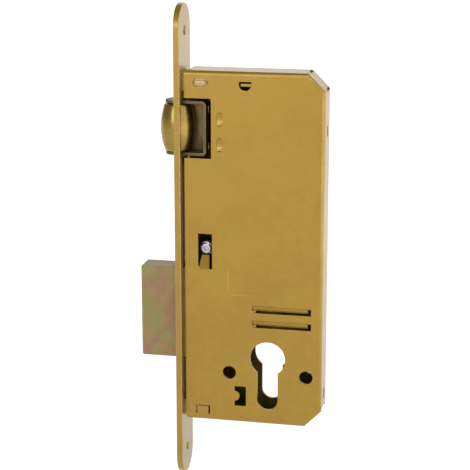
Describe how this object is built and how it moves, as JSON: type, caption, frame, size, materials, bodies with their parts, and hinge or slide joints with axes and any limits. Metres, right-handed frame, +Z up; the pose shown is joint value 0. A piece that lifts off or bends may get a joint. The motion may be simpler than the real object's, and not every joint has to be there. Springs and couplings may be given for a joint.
{
  "type": "mortise lock",
  "caption": "Mortise lock with a sprung roller latch above a sliding deadbolt, for a euro-profile cylinder, in a folded sheet-steel case on a round-ended faceplate.",
  "frame": {"origin": "on the euro cylinder's axis, at the middle of the case's thickness", "axes": "+X from the faceplate into the door, +Y across the door's thickness, +Z up"},
  "size_m": [0.09, 0.022, 0.235],
  "materials": {
    "lacquered_sheet": "satin gold lacquer on steel sheet",
    "lacquered_faceplate": "satin gold lacquer on steel strip",
    "bracket_steel": "yellow passivated steel",
    "zinc_hardware": "zinc plated steel",
    "latch_steel": "yellow passivated steel strip",
    "roller_brass": "burnished brass",
    "spring_wire": "drawn spring wire",
    "chromated_steel": "yellow chromate on zinc, iridescent",
    "tail_steel": "zinc plated steel plate",
    "blackened_steel": "blackened, oiled steel"
  },
  "bodies": {
    "lock_case": {"case_tray": "lacquered_sheet", "cover_plate": "lacquered_sheet", "faceplate": "lacquered_faceplate", "upper_bracket": "bracket_steel", "lower_bracket": "bracket_steel", "faceplate_screws": "zinc_hardware", "spacer_posts": "zinc_hardware", "cover_screws": "zinc_hardware", "middle_post": "blackened_steel", "side_washer": "blackened_steel", "side_screw": "zinc_hardware", "spring_bracket": "latch_steel", "bracket_rivets": "zinc_hardware", "guide_studs": "zinc_hardware", "tumbler_pivot": "zinc_hardware", "spring_post": "zinc_hardware", "tumbler_spring": "spring_wire", "upper_latch_spring": "spring_wire", "lower_latch_spring": "spring_wire"},
    "latch": {"latch_fork": "latch_steel", "roller_axle": "zinc_hardware", "guide_rods": "blackened_steel", "rod_clips": "blackened_steel"},
    "latch_roller": {"roller": "roller_brass"},
    "deadbolt": {"deadbolt_head": "chromated_steel", "deadbolt_tail": "tail_steel", "deadbolt_rivets": "chromated_steel", "tail_stud": "zinc_hardware"},
    "tumbler_lever": {"tumbler": "tail_steel"}
  },
  "joints": [
    {"name": "latch_slide", "type": "slide", "parent": "lock_case", "child": "latch", "axis": [1, 0, 0], "range_m": [0, 0.0083], "stiffness_N_per_m": 900, "springref_m": -0.006, "deforming": ["upper_latch_spring", "lower_latch_spring"]},
    {"name": "roller_spin", "type": "hinge", "parent": "latch", "child": "latch_roller", "pos_m": [-0.04555, 0, 0.1121], "axis": [0, 0, 1], "continuous": true},
    {"name": "deadbolt_slide", "type": "slide", "parent": "lock_case", "child": "deadbolt", "axis": [1, 0, 0], "range_m": [0, 0.018]},
    {"name": "tumbler_lift", "type": "hinge", "parent": "lock_case", "child": "tumbler_lever", "pos_m": [0.0204, 0.0032, 0.022], "axis": [0, 1, 0], "range_deg": [-6.5, 1.5], "stiffness_Nm_per_rad": 0.08, "deforming": ["tumbler_spring"]}
  ]
}
